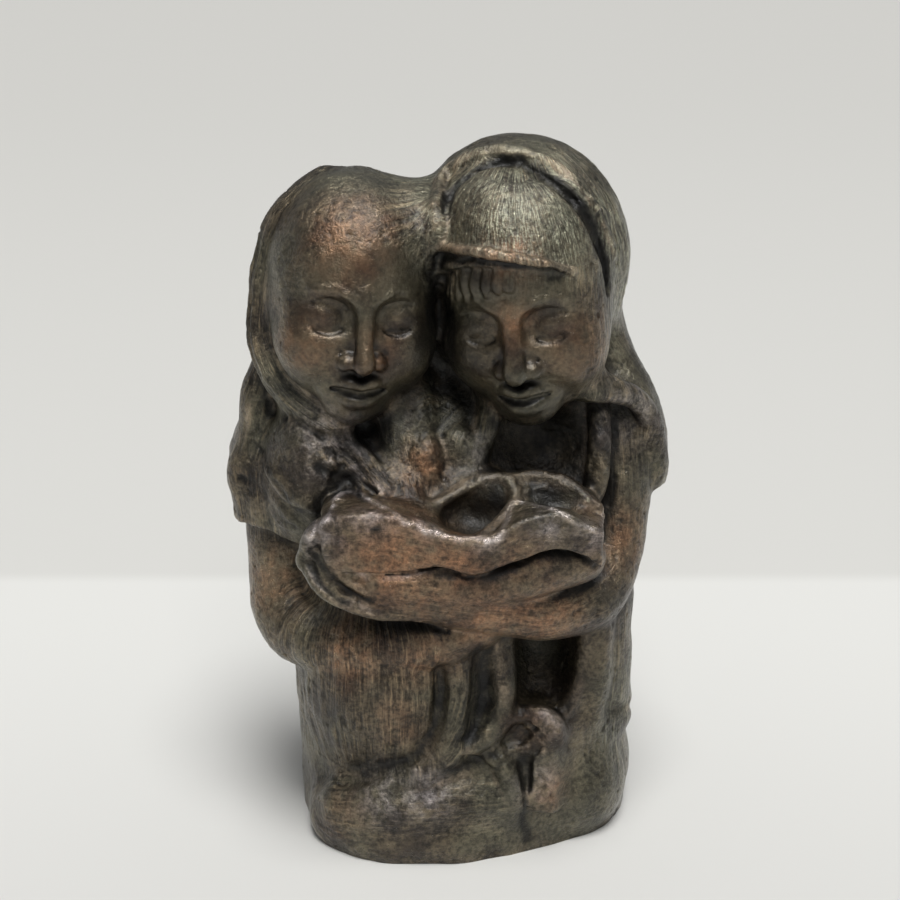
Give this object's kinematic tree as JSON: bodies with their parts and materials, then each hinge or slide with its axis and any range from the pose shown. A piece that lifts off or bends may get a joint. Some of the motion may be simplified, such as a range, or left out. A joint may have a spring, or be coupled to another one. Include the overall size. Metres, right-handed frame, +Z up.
{
  "type": "bronze sculpture of two reading children",
  "caption": "Small dark bronze of two children huddled side by side, arms crossed under one open book, on a flat underside.",
  "frame": {"origin": "centre of the flat underside, on the surface it stands on", "axes": "+Z up, the children face -Y, +X to the viewer's right"},
  "size_m": [0.1244, 0.0831, 0.1998],
  "materials": {
    "bronze": "dark brown patinated cast bronze, rubbed to copper on the high places, with olive and grey-green patina"
  },
  "bodies": {
    "root": {"reading_children": "bronze"}
  },
  "joints": []
}
